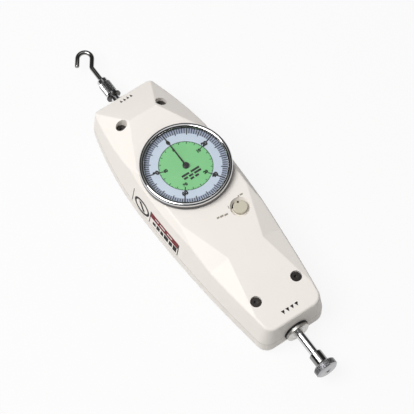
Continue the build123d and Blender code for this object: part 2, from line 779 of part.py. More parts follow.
# Black washers between the case's ends and the bushes' outer flanges.
with BuildPart() as bush_seals:
    for end_y, outwards in bush_ends.values():
        low = min(end_y, end_y + outwards * seal_thickness)
        with BuildSketch(rod_plane(low)):
            Circle(seal_r)
            Circle(bush_neck_r, mode=Mode.SUBTRACT)
        extrude(amount=seal_thickness)
bush_seals.part.label = "bush_seals"


def knurled_bar(radius, teeth, y_low, y_high, chamfer_size):
    """Bar on the rod's axis with a straight knurl and chamfered ends, in the part under construction."""
    corners = []
    for i in range(2 * teeth):
        r = radius if i % 2 == 0 else radius - knurl_depth
        corners.append((r * cos(pi * i / teeth), r * sin(pi * i / teeth)))
    with BuildPart(mode=Mode.PRIVATE) as blank:
        bar_along_rod(radius, y_low, y_high)
        chamfer(blank.edges().filter_by(GeomType.CIRCLE), chamfer_size)
    with BuildPart(mode=Mode.PRIVATE) as grooves:
        with BuildSketch(rod_plane(y_low)):
            Polygon(*corners, align=None)
        extrude(amount=y_high - y_low)
        add(blank.part, mode=Mode.INTERSECT)
    add(grooves.part)


# Push end: a sleeve screwed on the rod, with a stud that carries the knurled disc.
disc_end_y = disc_start_y - disc_thickness
stud_length = disc_thickness / 2
stud_r = sleeve_r / 2
with BuildPart() as push_sleeve:
    bar_along_rod(sleeve_r, disc_start_y, sleeve_start_y)
    bar_along_rod(rod_r, rod_push_y, sleeve_start_y, mode=Mode.SUBTRACT)
    bar_along_rod(stud_r, disc_start_y - stud_length, disc_start_y)
push_sleeve.part.label = "push_sleeve"

with BuildPart() as push_disc:
    knurled_bar(disc_r, disc_teeth, disc_end_y, disc_start_y, disc_chamfer)
    bar_along_rod(stud_r, disc_start_y - stud_length, disc_start_y, mode=Mode.SUBTRACT)
push_disc.part.label = "push_disc"

# Pull end: a thin lock ring, a knurled coupling with a plain nose, and the bent hook.
nut_end_y = nut_start_y + nut_thickness
with BuildPart() as coupling_nut:
    bar_along_rod(nut_r, nut_start_y, nut_end_y)
    bar_along_rod(rod_r, nut_start_y, nut_end_y, mode=Mode.SUBTRACT)
coupling_nut.part.label = "coupling_nut"

with BuildPart() as hook_coupling:
    knurled_bar(coupling_r, coupling_teeth, nut_end_y, coupling_knurl_end_y, knurl_depth)
    bar_along_rod(coupling_nose_r, coupling_knurl_end_y, coupling_end_y)
    nose_edge = hook_coupling.edges().filter_by(GeomType.CIRCLE).sort_by(Axis.Y)[-1]
    chamfer(nose_edge, (coupling_nose_r - hook_wire_r) * 0.6)
    bar_along_rod(rod_r, nut_end_y, rod_pull_y, mode=Mode.SUBTRACT)
    bar_along_rod(hook_wire_r, hook_seat_y, coupling_end_y, mode=Mode.SUBTRACT)
hook_coupling.part.label = "hook_coupling"

# The hook's wire: a straight shank, a bend, an arm that runs tangent into the bow, and the tip's arm.
tilt = radians(hook_tilt)
bend_y = hook_bow_y - hook_bow_r / sin(tilt)
arm = (sin(tilt), cos(tilt))
bow_start = (hook_bow_r * cos(tilt), hook_bow_y - hook_bow_r * sin(tilt))
bow_top = (hook_bow_r * arm[0], hook_bow_y + hook_bow_r * arm[1])
bow_end = (-bow_start[0], 2 * hook_bow_y - bow_start[1])
tip = (bow_end[0] - hook_arm_length * arm[0], bow_end[1] - hook_arm_length * arm[1])
with BuildPart() as hook:
    with BuildLine(Plane.XY.offset(rod_axis_z)) as hook_line:
        FilletPolyline((0, hook_seat_y), (0, bend_y), bow_start, radius=hook_bend_r)
        ThreePointArc(bow_start, bow_top, bow_end)
        Line(bow_end, tip)
    with BuildSketch(rod_plane(hook_seat_y)):
        Circle(hook_wire_r)
    sweep(path=hook_line.line)
    tip_edge = hook.edges().filter_by(GeomType.CIRCLE).sort_by(Axis.X)[0]
    chamfer(tip_edge, hook_wire_r / 2)
hook.part.label = "hook"

# -------------------------------------------------------------------------------------------- movement
with BuildPart() as back_plate:
    with BuildSketch(Plane.XY.offset(back_plate_z)) as plate:
        Rectangle(2 * plate_half_x, 2 * plate_half_y)
        fillet(plate.vertices(), plate_corner_r)
        slot_half_length = carrier_half_length + rod_travel + carrier_clearance
        with Locations((rack_middle_x, 0)):
            Rectangle(rack_body_width + 2 * carrier_clearance, 2 * slot_half_length, mode=Mode.SUBTRACT)
        with Locations((0, 0), (-arbor_spacing, 0)):
            Circle(pivot_r + pivot_clearance, mode=Mode.SUBTRACT)
        with Locations((lever_pivot_x, lever_pivot_y)):
            Circle(lever_pin_r, mode=Mode.SUBTRACT)
        with Locations(*pillar_places):
            Circle(pillar_tenon_r, mode=Mode.SUBTRACT)
    extrude(amount=plate_thickness)
back_plate.part.label = "movement_back_plate"

with BuildPart() as front_plate:
    with BuildSketch(Plane.XY.offset(front_plate_z)) as plate:
        Rectangle(2 * plate_half_x, 2 * plate_half_y)
        fillet(plate.vertices(), plate_corner_r)
        with Locations((0, 0), (-arbor_spacing, 0)):
            Circle(pivot_r + pivot_clearance, mode=Mode.SUBTRACT)
        with Locations((lever_pivot_x, lever_pivot_y)):
            Circle(lever_pin_r, mode=Mode.SUBTRACT)
        with Locations(*pillar_places):
            Circle(small_screw_r + thread_clearance, mode=Mode.SUBTRACT)
    extrude(amount=plate_thickness)
front_plate.part.label = "movement_front_plate"

# Pillars riveted in the back plate and tapped at the front.
with BuildPart() as plate_pillars:
    for x, y in pillar_places:
        pin(pillar_r, back_plate_top_z, front_plate_z, x, y)
        pin(pillar_tenon_r, back_plate_z, back_plate_top_z, x, y)
        thread_r = small_screw_r + thread_clearance
        pin(thread_r, front_plate_z - small_thread_length, front_plate_z, x, y, mode=Mode.SUBTRACT)
plate_pillars.part.label = "plate_pillars"

# Spacers that hang the movement from the cup's floor.
with BuildPart() as movement_spacers:
    for x, y in pillar_places:
        ring(pillar_r, small_screw_r + thread_clearance, front_plate_top_z, cup_underside_z, x, y)
movement_spacers.part.label = "movement_spacers"

with BuildPart() as movement_screws:
    for x, y in pillar_places:
        pin(small_head_r, floor_top_z, floor_top_z + small_head_height, x, y)
        pin(small_screw_r, front_plate_z - small_thread_length, floor_top_z, x, y)
movement_screws.part.label = "movement_screws"

# Hairspring: a flat spiral from the collet on the pointer's arbor to a stud under the front plate.
spiral_end_r = hairspring_inner_r + hairspring_turns * hairspring_pitch
with BuildPart() as hairspring_collet:
    collet_z = hairspring_z + (hairspring_height - collet_height) / 2
    ring(hairspring_inner_r, arbor_r, collet_z, collet_z + collet_height)
hairspring_collet.part.label = "hairspring_collet"


def spiral(offset):
    """Points of the hairspring's spiral, moved out by offset."""
    points = []
    for i in range(spring_steps * hairspring_turns + 1):
        r = hairspring_inner_r + offset + hairspring_pitch * i / spring_steps
        angle = 2 * pi * i / spring_steps
        points.append((r * cos(angle), r * sin(angle)))
    return points


with BuildPart() as hairspring:
    with BuildSketch(Plane.XY.offset(hairspring_z)):
        Polygon(*spiral(0), *reversed(spiral(hairspring_strip)), align=None)
    extrude(amount=hairspring_height)
    pin(hairspring_inner_r, hairspring_z, hairspring_z + hairspring_height, mode=Mode.SUBTRACT)
hairspring.part.label = "hairspring"

with BuildPart() as hairspring_stud:
    with BuildSketch(Plane.XY.offset(hairspring_z)):
        with Locations((spiral_end_r + hairspring_strip + stud_size / 2, 0)):
            Rectangle(stud_size, stud_size)
    extrude(amount=front_plate_z - hairspring_z)
hairspring_stud.part.label = "hairspring_stud"

# -------------------------------------------------------------------------------- selector and its brake
knob_low_z = dish_z + knob_gap
knob_top_z = knob_low_z + knob_height
shaft_top_z = knob_top_z - knob_height / 2
crank_top_z = crank_z + crank_thickness
pivot_from_knob = atan2(lever_pivot_y - knob_y, lever_pivot_x - knob_x)
crank_angle = pivot_from_knob - radians(knob_turn / 2)
crank_pin_x = knob_x + crank_throw * cos(crank_angle)
crank_pin_y = knob_y + crank_throw * sin(crank_angle)

with BuildPart() as selector_knob:
    pin(knob_r, knob_low_z, knob_top_z, knob_x, knob_y)
    chamfer(selector_knob.edges().group_by(Axis.Z)[-1], knob_chamfer)
    pin(knob_shaft_r, knob_low_z, shaft_top_z, knob_x, knob_y, mode=Mode.SUBTRACT)
selector_knob.part.label = "selector_knob"

# Shaft with a crank below the case's bearing; its pin moves the brake lever.
with BuildPart() as knob_shaft:
    pin(knob_shaft_r, crank_top_z, shaft_top_z, knob_x, knob_y)
    pin(crank_r, crank_z, crank_top_z, knob_x, knob_y)
    pin(crank_pin_r, crank_pin_end_z, crank_z, crank_pin_x, crank_pin_y)
knob_shaft.part.label = "knob_shaft"

with BuildPart() as knob_clip:
    clip_top_z = knob_boss_z - knob_gap / 2
    ring(clip_r, knob_shaft_r, clip_top_z - clip_thickness, clip_top_z, knob_x, knob_y)
    with BuildSketch(Plane.XY.offset(clip_top_z - clip_thickness)):
        with Locations((knob_x + clip_r, knob_y)):
            Rectangle(2 * clip_r, knob_shaft_r)
    extrude(amount=clip_thickness, mode=Mode.SUBTRACT)
knob_clip.part.label = "knob_clip"

# Brake: the pad's face stays a hair off the drum at rest; the lever's arm runs straight past the drum.
pivot_distance = hypot(lever_pivot_x, lever_pivot_y)
pad_face_r = drum_r + brake_gap
arm_line_r = pad_face_r + brake_pad_thickness + lever_half_width
brake_angle = atan2(lever_pivot_y, lever_pivot_x) + acos(arm_line_r / pivot_distance)
out_x, out_y = cos(brake_angle), sin(brake_angle)
along_x, along_y = -out_y, out_x
arm_end = (
    arm_line_r * out_x + brake_pad_length / 2 * along_x,
    arm_line_r * out_y + brake_pad_length / 2 * along_y,
)
fork_angle = atan2(crank_pin_y - lever_pivot_y, crank_pin_x - lever_pivot_x)
fork_far_r = hypot(crank_pin_x - lever_pivot_x, crank_pin_y - lever_pivot_y)
fork_near_r = hypot(knob_x - lever_pivot_x, knob_y - lever_pivot_y) - crank_throw
fork_middle_r = (fork_far_r + fork_near_r) / 2
fork = (lever_pivot_x + fork_middle_r * cos(fork_angle), lever_pivot_y + fork_middle_r * sin(fork_angle))


def lever_arm(start, end):
    """Round-ended arm between two points, in the sketch under construction."""
    span = (end[0] - start[0], end[1] - start[1])
    with Locations(((start[0] + end[0]) / 2, (start[1] + end[1]) / 2)):
        SlotCenterToCenter(hypot(*span), 2 * lever_half_width, rotation=degrees(atan2(span[1], span[0])))


with BuildPart() as brake_drum:
    ring(drum_r, arbor_r, drum_z, drum_z + drum_width)
brake_drum.part.label = "brake_drum"

with BuildPart() as brake_lever:
    pivot = (lever_pivot_x, lever_pivot_y)
    with BuildSketch(Plane.XY.offset(lever_z)):
        lever_arm(pivot, arm_end)
        lever_arm(pivot, fork)
        with Locations(pivot):
            Circle(lever_boss_r)
        with Locations(fork):
            Circle(lever_fork_r)
            SlotCenterToCenter(
                fork_far_r - fork_near_r + 2 * slot_clearance,
                2 * (crank_pin_r + slot_clearance),
                rotation=degrees(fork_angle),
                mode=Mode.SUBTRACT,
            )
        with Locations(pivot):
            Circle(lever_pin_r + pivot_clearance, mode=Mode.SUBTRACT)
    extrude(amount=lever_thickness)
brake_lever.part.label = "brake_lever"

with BuildPart() as brake_pad:
    pad_middle_r = pad_face_r + brake_pad_thickness / 2
    with BuildSketch(Plane.XY.offset(lever_z)):
        with Locations((pad_middle_r * out_x, pad_middle_r * out_y)):
            Rectangle(brake_pad_thickness, brake_pad_length, rotation=degrees(brake_angle))
    extrude(amount=lever_thickness)
brake_pad.part.label = "brake_pad"

# Pin of the lever between the plates, with a shoulder that the lever rests on.
with BuildPart() as lever_pivot:
    pin(lever_pin_r, back_plate_z, front_plate_top_z, lever_pivot_x, lever_pivot_y)
    pin((lever_boss_r + lever_pin_r) / 2, back_plate_top_z, lever_z - pivot_clearance, lever_pivot_x, lever_pivot_y)
lever_pivot.part.label = "lever_pivot"

# ------------------------------------------------------------------------------------------------ files
pieces = [
    front_case, rear_case, case_screws, dial_cup, friction_ring, bezel_ring, crystal,
    spacer_ring, dial_plate, pointer_arbor, pointer, gear_arbor, rack_pinion, gear_wheel, pointer_pinion,
    measuring_rod, rod_collars, rack, rack_carrier, rack_screws, pull_spring, push_spring,
    spring_stops, *bushes, bush_seals, push_sleeve, push_disc, coupling_nut, hook_coupling, hook,
    back_plate, front_plate, plate_pillars, movement_spacers, movement_screws,
    hairspring_collet, hairspring, hairspring_stud, selector_knob, knob_shaft, knob_clip, brake_drum,
    brake_lever, brake_pad, lever_pivot,
]
for piece in pieces:
    export_step(piece.part, f"parts/{piece.part.label}.step")
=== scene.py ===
import json
import math

import bmesh
import bpy
from mathutils import Matrix, Vector
from mathutils.bvhtree import BVHTree


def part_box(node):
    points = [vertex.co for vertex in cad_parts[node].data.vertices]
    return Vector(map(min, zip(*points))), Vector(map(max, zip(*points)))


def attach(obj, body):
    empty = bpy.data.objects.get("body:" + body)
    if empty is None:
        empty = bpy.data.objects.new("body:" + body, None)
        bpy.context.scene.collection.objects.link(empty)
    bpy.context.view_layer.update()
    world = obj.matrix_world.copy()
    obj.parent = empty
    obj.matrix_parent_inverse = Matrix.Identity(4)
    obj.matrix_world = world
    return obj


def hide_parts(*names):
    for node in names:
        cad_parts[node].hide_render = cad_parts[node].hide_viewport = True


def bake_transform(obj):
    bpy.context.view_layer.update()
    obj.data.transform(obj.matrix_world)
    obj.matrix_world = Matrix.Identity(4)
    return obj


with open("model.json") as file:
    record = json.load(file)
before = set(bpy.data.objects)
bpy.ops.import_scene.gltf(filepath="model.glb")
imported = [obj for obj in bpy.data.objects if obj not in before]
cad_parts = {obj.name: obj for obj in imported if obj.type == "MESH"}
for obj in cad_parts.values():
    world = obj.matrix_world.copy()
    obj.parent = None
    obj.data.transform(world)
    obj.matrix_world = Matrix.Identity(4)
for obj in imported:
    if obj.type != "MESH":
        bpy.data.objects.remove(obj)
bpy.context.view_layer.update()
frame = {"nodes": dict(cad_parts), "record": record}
nodes = frame["nodes"]

MM = 0.001
FULL_TURN = 2 * math.pi

# ----------------------------------------------------------------- sizes, in the frame's own metres
ROD_Z = (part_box("measuring_rod")[0].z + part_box("measuring_rod")[1].z) / 2
DIAL_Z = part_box("dial_plate")[1].z
KNOB_LOW, KNOB_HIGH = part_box("selector_knob")
KNOB_X = (KNOB_LOW.x + KNOB_HIGH.x) / 2
KNOB_Y = (KNOB_LOW.y + KNOB_HIGH.y) / 2

GREEN_R = 18.2 * MM
SCALE_R = 24.1 * MM
SCALE_OUTER_R = 27.9 * MM
INK_LIFT = 0.03 * MM

JOINT_HALF_WIDTH = 0.13 * MM
# Where the painted dark reflection on the bezel's chrome skirt starts, and how far it fades in.
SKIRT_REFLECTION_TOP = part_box("bezel_ring")[1].z - 1.9 * MM
SKIRT_REFLECTION_FADE = 0.5 * MM


# ------------------------------------------------------------------------------------------ colours
def srgb(red, green, blue):
    """A colour given in display values from 0 to 255, as linear values."""
    linear = []
    for value in (red, green, blue):
        v = value / 255
        linear.append(v / 12.92 if v <= 0.04045 else ((v + 0.055) / 1.055) ** 2.4)
    return (*linear, 1.0)


WHITE = (1.0, 1.0, 1.0, 1.0)
IVORY_LIGHT = srgb(240, 235, 229)
IVORY_DARK = srgb(235, 229, 222)
JOINT_COLOUR = srgb(120, 112, 100)
# painted dark reflection on the bezel's chrome skirt
SKIRT_PAINTED_REFLECTION = srgb(84, 84, 86)
DIAL_GREEN_DARK = srgb(118, 188, 128)
DIAL_GREEN_LIGHT = srgb(130, 199, 136)
DIAL_PALE_DARK = srgb(188, 201, 216)
DIAL_PALE_LIGHT = srgb(199, 211, 224)
# outer scale ring: partly its print, partly painted shade from the bezel
DIAL_RING_PRINT_AND_SHADE = srgb(150, 161, 180)
INK_GREY = srgb(38, 40, 50)
INK_BLACK = srgb(16, 18, 22)
INK_GREEN = srgb(20, 74, 36)
FLOOR_GREY = srgb(214, 214, 213)


# ------------------------------------------------------------------------------------ shader groups
class NodeMaker:
    """Adds nodes to a tree and links what is given as a socket."""

    def __init__(self, tree):
        self.tree = tree

    def node(self, kind, inputs=None, **settings):
        """A new node with its settings made first, because they can add the inputs."""
        made = self.tree.nodes.new(kind)
        for name, value in settings.items():
            setattr(made, name, value)
        for name, value in (inputs or {}).items():
            self.set(made.inputs[name], value)
        return made

    def set(self, socket, value):
        """Links a socket to an output, or gives it a value."""
        if isinstance(value, bpy.types.NodeSocket):
            self.tree.links.new(value, socket)
        else:
            socket.default_value = value

    def math(self, operation, a, b=0.0, c=0.0):
        """One calculation on up to three values."""
        made = self.node("ShaderNodeMath", operation=operation)
        for socket, value in zip(made.inputs, (a, b, c)):
            self.set(socket, value)
        return made.outputs[0]

    def mix(self, factor, a, b):
        """Colour a where the factor is 0, and colour b where it is 1."""
        made = self.node("ShaderNodeMix", data_type="RGBA")
        self.set(made.inputs["Factor"], factor)
        self.set(made.inputs["A"], a)
        self.set(made.inputs["B"], b)
        return made.outputs["Result"]

    def map_range(self, value, from_low, from_high, to_low, to_high, **settings):
        """A value moved from one range to another, and kept inside it."""
        made = self.node("ShaderNodeMapRange", **settings)
        for socket, given in zip(made.inputs, (value, from_low, from_high, to_low, to_high)):
            self.set(socket, given)
        return made.outputs[0]

    def height(self, position):
        """The Z of a position."""
        return self.node("ShaderNodeSeparateXYZ", {"Vector": position}).outputs["Z"]

    def from_axis(self, x, y):
        """Distance from the Z axis."""
        flat = self.node("ShaderNodeCombineXYZ", {"X": x, "Y": y}).outputs[0]
        return self.node("ShaderNodeVectorMath", {0: flat}, operation="LENGTH").outputs["Value"]

    def noise(self, position, size, detail):
        """Noise from 0 to 1, with features of about a size in metres."""
        scale = self.math("DIVIDE", 1.0, size)
        inputs = {"Vector": position, "Scale": scale, "Detail": detail}
        return self.node("ShaderNodeTexNoise", inputs).outputs["Fac"]

    def looked_at(self):
        """1 for camera, glossy and transmission rays, and 0 for diffuse and shadow rays."""
        path = self.node("ShaderNodeLightPath").outputs
        seen = self.math("MAXIMUM", path["Is Camera Ray"], path["Is Glossy Ray"])
        return self.math("MAXIMUM", seen, path["Is Transmission Ray"])

    def mix_surface(self, share, first, second):
        """Gives a material the first shader where the share is 0, and the second where it is 1."""
        inputs = {0: share, 1: first.outputs[0], 2: second.outputs[0]}
        blend = self.node("ShaderNodeMixShader", inputs)
        self.set(self.tree.nodes["Material Output"].inputs["Surface"], blend.outputs[0])


def new_group(name, inputs, outputs):
    """An empty shader group with its maker, and the sockets inside that it reads and fills."""
    tree = bpy.data.node_groups.new(name, "ShaderNodeTree")
    for socket, value in inputs.items():
        kind = "NodeSocketVector" if value == "vector" else "NodeSocketFloat"
        made = tree.interface.new_socket(name=socket, in_out="INPUT", socket_type=kind)
        if value != "vector":
            made.default_value = value
    for socket in outputs:
        tree.interface.new_socket(name=socket, in_out="OUTPUT", socket_type="NodeSocketFloat")
    into = tree.nodes.new("NodeGroupInput").outputs
    out_of = tree.nodes.new("NodeGroupOutput").inputs
    return tree, NodeMaker(tree), into, out_of


def make_ring_ticks():
    """Mask of radial ticks between two radii of a dial around the Z axis, the first one at +Y."""
    tree, make, into, out_of = new_group(
        "ring_ticks",
        {"Position": "vector", "Inner": 0.02, "Outer": 0.024, "Count": 100.0, "Half Width": 0.0001},
        ["Mask"],
    )
    # the whole ticks keep the count above zero, and the half one centres a tick on +Y
    added_ticks = 100.5
    split = make.node("ShaderNodeSeparateXYZ", {"Vector": into["Position"]}).outputs
    radius = make.from_axis(split["X"], split["Y"])
    turn = make.math("DIVIDE", make.math("ARCTAN2", split["X"], split["Y"]), FULL_TURN)
    step = make.math("FRACT", make.math("MULTIPLY_ADD", turn, into["Count"], added_ticks))
    off_middle = make.math("ABSOLUTE", make.math("SUBTRACT", step, 0.5))
    pitch = make.math("DIVIDE", make.math("MULTIPLY", radius, FULL_TURN), into["Count"])
    near = make.math("LESS_THAN", make.math("MULTIPLY", off_middle, pitch), into["Half Width"])
    inside = make.math("LESS_THAN", radius, into["Outer"])
    outside = make.math("GREATER_THAN", radius, into["Inner"])
    between = make.math("MULTIPLY", inside, outside)
    make.set(out_of["Mask"], make.math("MULTIPLY", near, between))
    return tree


def make_surface_grain():
    """Fine relief and slow patches of a finished surface, at sizes given in metres."""
    tree, make, into, out_of = new_group(
        "surface_grain",
        {"Position": "vector", "Grain Size": 0.0005, "Patch Size": 0.03},
        ["Grain", "Patches"],
    )
    make.set(out_of["Grain"], make.noise(into["Position"], into["Grain Size"], detail=2.0))
    make.set(out_of["Patches"], make.noise(into["Position"], into["Patch Size"], detail=3.0))
    return tree


def make_turning_marks():
    """Fine rings left by a lathe around the Y axis."""
    tree, make, into, out_of = new_group(
        "turning_marks", {"Position": "vector", "Pitch": 0.0002}, ["Rings"]
    )
    # noise that hardly changes across the axis and so runs in rings around it
    rings_along_y = (0.02, 1.0, 0.02)
    stretched = make.node(
        "ShaderNodeVectorMath", {0: into["Position"], 1: rings_along_y}, operation="MULTIPLY"
    )
    make.set(out_of["Rings"], make.noise(stretched.outputs[0], into["Pitch"], detail=2.0))
    return tree


RING_TICKS = make_ring_ticks()
SURFACE_GRAIN = make_surface_grain()
TURNING_MARKS = make_turning_marks()


# ---------------------------------------------------------------------------------------- materials
def open_material(material):
    """A material's node maker, its Principled shader and its Object position."""
    tree = material.node_tree
    position = tree.nodes.new("ShaderNodeTexCoord").outputs["Object"]
    return NodeMaker(tree), tree.nodes["Principled BSDF"], position


def new_material(name):
    """A new material, with what open_material gives."""
    material = bpy.data.materials.new(name)
    material.use_nodes = True
    return material, *open_material(material)


def grained(make, position, grain_size, patch_size):
    """The grain and the patches of a surface, each from 0 to 1."""
    inputs = {"Position": position, "Grain Size": grain_size, "Patch Size": patch_size}
    group = make.node("ShaderNodeGroup", inputs, node_tree=SURFACE_GRAIN)
    return group.outputs["Grain"], group.outputs["Patches"]


def add_bump(make, shader, height, distance):
    """Relief from a height of 0 to 1, as deep as the distance."""
    bump = make.node("ShaderNodeBump", {"Height": height, "Distance": distance, "Strength": 1.0})
    make.set(shader.inputs["Normal"], bump.outputs["Normal"])


def spread(make, value, low, high):
    """A value from 0 to 1 moved to the range low to high."""
    return make.math("MULTIPLY_ADD", value, high - low, low)


def lay_over(make, shader, mask, colour):
    """Lays a colour over a material's base colour where the mask is 1."""
    base = shader.inputs["Base Color"]
    make.set(base, make.mix(mask, base.links[0].from_socket, colour))


def painted(name, light, dark, roughness):
    """Sprayed enamel: slow patches of colour and a fine orange peel."""
    uneven = 0.05
    material, make, shader, position = new_material(name)
    grain, patches = grained(make, position, grain_size=0.7 * MM, patch_size=35 * MM)
    make.set(shader.inputs["Base Color"], make.mix(patches, dark, light))
    patchy = spread(make, patches, roughness - uneven, roughness + uneven)
    make.set(shader.inputs["Roughness"], patchy)
    add_bump(make, shader, grain, distance=0.012 * MM)
    return material


def metal(name, light, dark, low_roughness, high_roughness):
    """Bare or plated metal with lathe marks around the Y axis."""
    material, make, shader, position = new_material(name)
    marks = {"Position": position, "Pitch": 0.25 * MM}
    rings = make.node("ShaderNodeGroup", marks, node_tree=TURNING_MARKS).outputs["Rings"]
    grain, patches = grained(make, position, grain_size=0.3 * MM, patch_size=12 * MM)
    make.set(shader.inputs["Base Color"], make.mix(patches, dark, light))
    make.set(shader.inputs["Roughness"], spread(make, rings, low_roughness, high_roughness))
    shader.inputs["Metallic"].default_value = 1.0
    add_bump(make, shader, make.math("ADD", grain, rings), distance=0.004 * MM)
    return material


def moulded(name, light, dark, roughness, relief=0.01 * MM):
    """Moulded plastic, rubber, felt or ink with a fine grain."""
    uneven = 0.08
    material, make, shader, position = new_material(name)
    grain, patches = grained(make, position, grain_size=0.25 * MM, patch_size=8 * MM)
    make.set(shader.inputs["Base Color"], make.mix(patches, dark, light))
    grainy = spread(make, grain, roughness - uneven, roughness + uneven)
    make.set(shader.inputs["Roughness"], grainy)
    add_bump(make, shader, grain, relief)
    return material


def make_case_paint():
    """Ivory enamel of the case, with a thin dark joint where the two shells meet."""
    material = painted("ivory_enamel", IVORY_LIGHT, IVORY_DARK, 0.46)
    make, shader, position = open_material(material)
    shader.inputs["Specular IOR Level"].default_value = 0.3
    off_joint = make.math("ABSOLUTE", make.math("SUBTRACT", make.height(position), ROD_Z))
    joint = make.math("LESS_THAN", off_joint, JOINT_HALF_WIDTH)
    lay_over(make, shader, joint, JOINT_COLOUR)
    return material


def make_bezel_chrome():
    """Bright chrome of the bezel, with a painted dark reflection on the upright skirt below its
    rounded crown.
    """
    material = metal("bezel_chrome", srgb(226, 226, 226), srgb(206, 206, 208), 0.04, 0.1)
    make, shader, position = open_material(material)
    # painted dark reflection, laid over the skirt below the crown
    skirt = make.map_range(make.height(position), SKIRT_REFLECTION_TOP, SKIRT_REFLECTION_TOP - SKIRT_REFLECTION_FADE, 0.0, 1.0)
    lay_over(make, shader, skirt, SKIRT_PAINTED_REFLECTION)
    return material


# Inner radius, outer radius, how many marks, half the width of one, and the ink. A single mark
# wider than the dial is a full circle.
DIAL_SCALES = (
    (SCALE_R + 0.2 * MM, SCALE_OUTER_R, 100, 0.3 * MM, INK_GREY),
    (SCALE_R - 1.0 * MM, SCALE_OUTER_R, 20, 0.34 * MM, INK_BLACK),
    (SCALE_R - 1.9 * MM, SCALE_OUTER_R, 5, 0.45 * MM, INK_BLACK),
    (GREEN_R - 0.45 * MM, GREEN_R, 1, 1.0, INK_GREEN),
    (GREEN_R - 1.0 * MM, GREEN_R, 50, 0.16 * MM, INK_GREEN),
    (GREEN_R - 1.9 * MM, GREEN_R, 20, 0.28 * MM, INK_GREEN),
    (GREEN_R - 2.6 * MM, GREEN_R, 5, 0.36 * MM, INK_BLACK),
)


def make_dial_print():
    """Printed dial: a green disc and a pale band with scales, and an outer scale ring whose darker
    tone is partly print and partly painted shade from the bezel.
    """
    material, make, shader, position = new_material("dial_print")
    grain, patches = grained(make, position, grain_size=0.4 * MM, patch_size=15 * MM)
    split = make.node("ShaderNodeSeparateXYZ", {"Vector": position}).outputs
    radius = make.from_axis(split["X"], split["Y"])
    green = make.mix(patches, DIAL_GREEN_DARK, DIAL_GREEN_LIGHT)
    pale = make.mix(patches, DIAL_PALE_DARK, DIAL_PALE_LIGHT)
    colour = make.mix(make.math("LESS_THAN", radius, GREEN_R), pale, green)
    # the outer ring's darker tone is partly print and partly painted shade from the bezel
    colour = make.mix(make.math("GREATER_THAN", radius, SCALE_R), colour, DIAL_RING_PRINT_AND_SHADE)
    for inner, outer, count, half_width, ink in DIAL_SCALES:
        inputs = {
            "Position": position,
            "Inner": inner,
            "Outer": outer,
            "Count": count,
            "Half Width": half_width,
        }
        ticks = make.node("ShaderNodeGroup", inputs, node_tree=RING_TICKS)
        colour = make.mix(ticks.outputs["Mask"], colour, ink)
    make.set(shader.inputs["Base Color"], colour)
    shader.inputs["Roughness"].default_value = 0.45
    add_bump(make, shader, grain, distance=0.004 * MM)
    return material


def make_glass():
    """Clear glass that lets the lamp's light straight through to the dial and back."""
    material, make, shader, position = new_material("clear_glass")
    shader.inputs["Base Color"].default_value = WHITE
    shader.inputs["Transmission Weight"].default_value = 1.0
    shader.inputs["IOR"].default_value = 1.46
    patches = grained(make, position, grain_size=0.5 * MM, patch_size=20 * MM)[1]
    make.set(shader.inputs["Roughness"], spread(make, patches, 0.0, 0.02))
    clear = make.node("ShaderNodeBsdfTransparent")
    path = make.node("ShaderNodeLightPath").outputs
    straight = make.math("MAXIMUM", path["Is Shadow Ray"], path["Is Diffuse Ray"])
    make.mix_surface(straight, shader, clear)
    return material


CASE_PAINT = make_case_paint()
KNOB_PAINT = painted("knob_enamel", srgb(204, 198, 180), srgb(190, 184, 166), 0.42)
POINTER_PAINT = painted("pointer_enamel", srgb(24, 26, 26), srgb(16, 18, 18), 0.5)
DIAL_PRINT = make_dial_print()
GLASS = make_glass()
BEZEL_CHROME = make_bezel_chrome()
CHROME = metal("bright_chrome", srgb(222, 222, 222), srgb(202, 202, 204), 0.04, 0.1)
DARK_CHROME = metal("dark_chrome", srgb(176, 175, 174), srgb(124, 123, 122), 0.05, 0.14)
DISC_METAL = metal("knurled_metal", srgb(196, 196, 198), srgb(142, 142, 144), 0.16, 0.32)
STEEL = metal("ground_steel", srgb(188, 188, 190), srgb(168, 169, 172), 0.1, 0.2)
SPRING_STEEL = metal("spring_steel", srgb(130, 134, 140), srgb(100, 104, 110), 0.25, 0.4)
BRASS = metal("machined_brass", srgb(206, 170, 96), srgb(184, 146, 78), 0.22, 0.36)
ALLOY = metal("turned_alloy", srgb(214, 212, 208), srgb(196, 194, 190), 0.3, 0.45)
BLACK_STEEL = metal("blackened_steel", srgb(96, 93, 91), srgb(58, 56, 55), 0.2, 0.36)
BLACK_PLASTIC = moulded("black_plastic", srgb(30, 30, 32), srgb(20, 20, 22), 0.5)
RUBBER = moulded("black_rubber", srgb(30, 30, 30), srgb(18, 18, 18), 0.65)
FELT = moulded("dark_felt", srgb(44, 42, 40), srgb(30, 28, 26), 0.9, relief=0.05 * MM)
INK = moulded("black_ink", srgb(16, 16, 18), srgb(10, 10, 11), 0.7)
GREEN_INK = moulded("dark_green_ink", srgb(12, 52, 26), srgb(8, 40, 18), 0.7)
RED_INK = moulded("red_ink", srgb(124, 8, 28), srgb(104, 6, 22), 0.62)
GREY_INK = moulded("grey_ink", srgb(150, 142, 128), srgb(136, 128, 114), 0.5)
LABEL_WHITE = moulded("white_label", srgb(238, 236, 232), srgb(228, 226, 222), 0.42)

